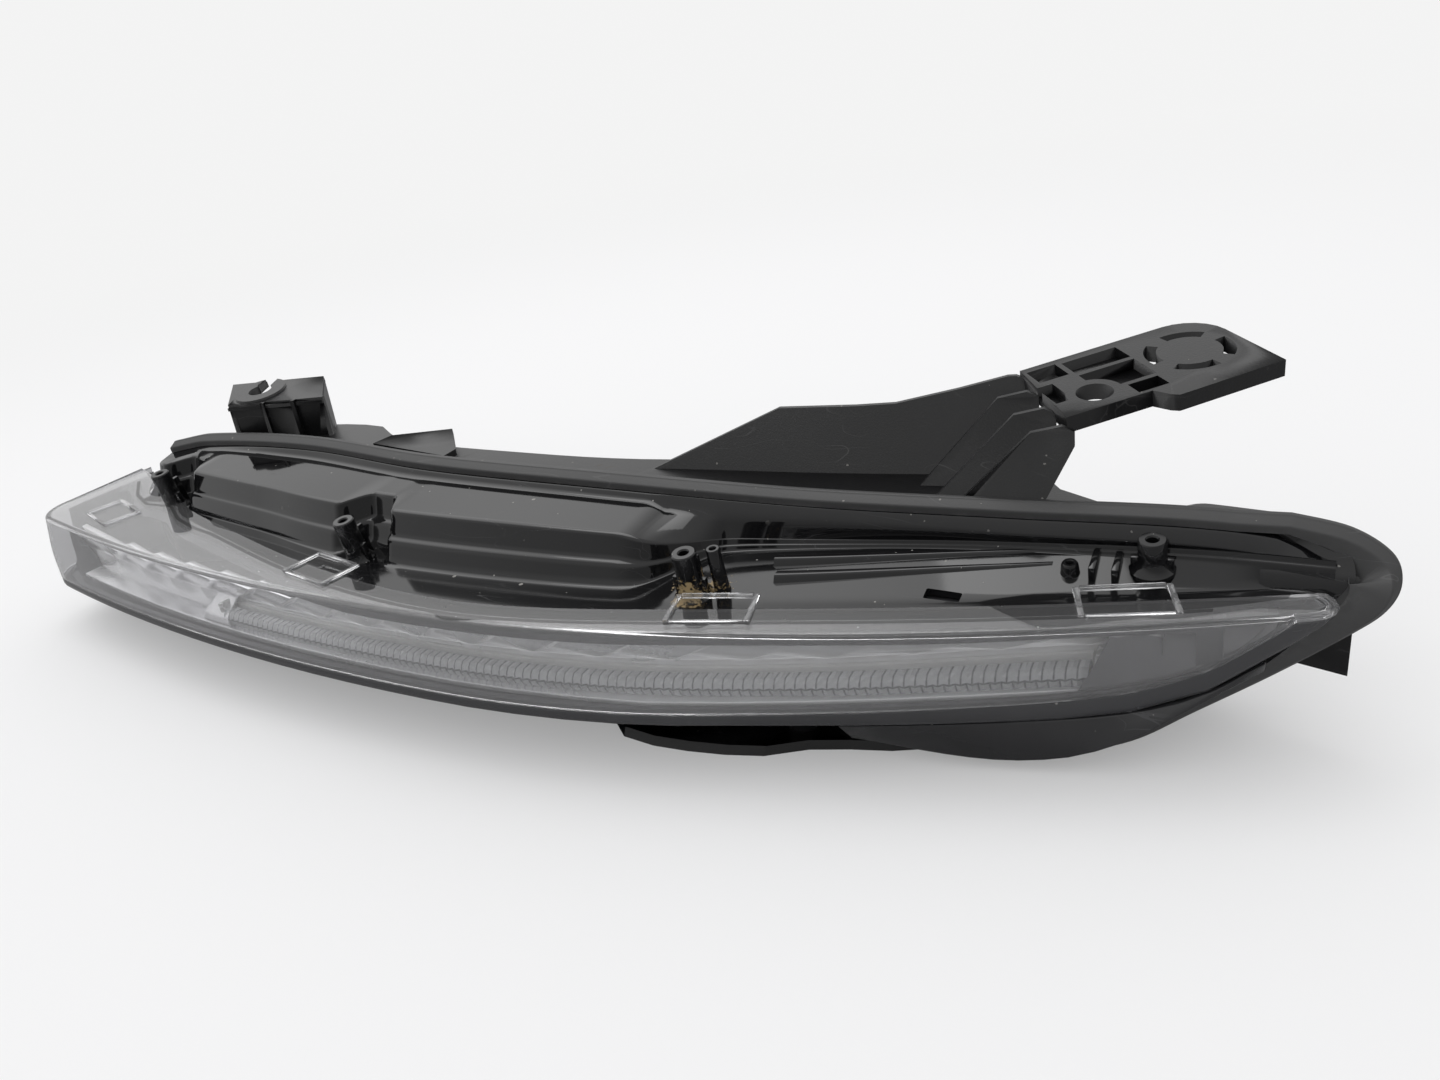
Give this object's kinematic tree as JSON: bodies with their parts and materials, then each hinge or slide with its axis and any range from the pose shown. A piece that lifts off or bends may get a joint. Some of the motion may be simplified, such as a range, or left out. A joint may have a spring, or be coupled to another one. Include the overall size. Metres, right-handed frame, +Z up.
{
  "type": "daytime running light",
  "caption": "Slim curved daytime running light for a car's front corner, with clear lens, stepped glossy deck, light guide, sealing lip, rear carrier, side bracket and raised mounting arm.",
  "frame": {"origin": "centre of the underside of the outer box: the carrier's tray stands on z = 0", "axes": "+X along the lamp from its wide lens end to its hooked seal end, +Y back into the car, +Z up"},
  "size_m": [0.6059, 0.1755, 0.1146],
  "materials": {
    "carrier_black": "matt moulded",
    "piano_black": "high gloss",
    "seal_rubber": "matt",
    "clear_plastic": "clear, faintly grey",
    "band_black": "satin",
    "housing_grey": "moulded",
    "reflector_grey": "satin silver paint",
    "guide_clear": "clear with frosted teeth",
    "channel_white": "white diffuser",
    "board_green": "solder mask",
    "chip_yellow": "phosphor",
    "sink_metal": "extruded",
    "contact_metal": "tinned",
    "screw_steel": "zinc plated"
  },
  "bodies": {
    "root": {"carrier": "carrier_black", "edge_seal": "seal_rubber", "deck_bezel": "piano_black", "lower_skirt": "piano_black", "lamp_housing": "housing_grey", "outer_lens": "clear_plastic", "lens_band": "band_black", "sealing_bead": "seal_rubber", "stepped_reflector": "reflector_grey", "light_guide": "guide_clear", "guide_channel": "channel_white", "led_boards": "board_green", "led_chips": "chip_yellow", "heat_sink": "sink_metal", "driver_case": "housing_grey", "driver_cover": "housing_grey", "driver_board": "board_green", "connector_socket": "housing_grey", "connector_pins": "contact_metal", "wiring": "seal_rubber", "vent_cap": "seal_rubber", "housing_screws": "screw_steel"}
  },
  "joints": []
}
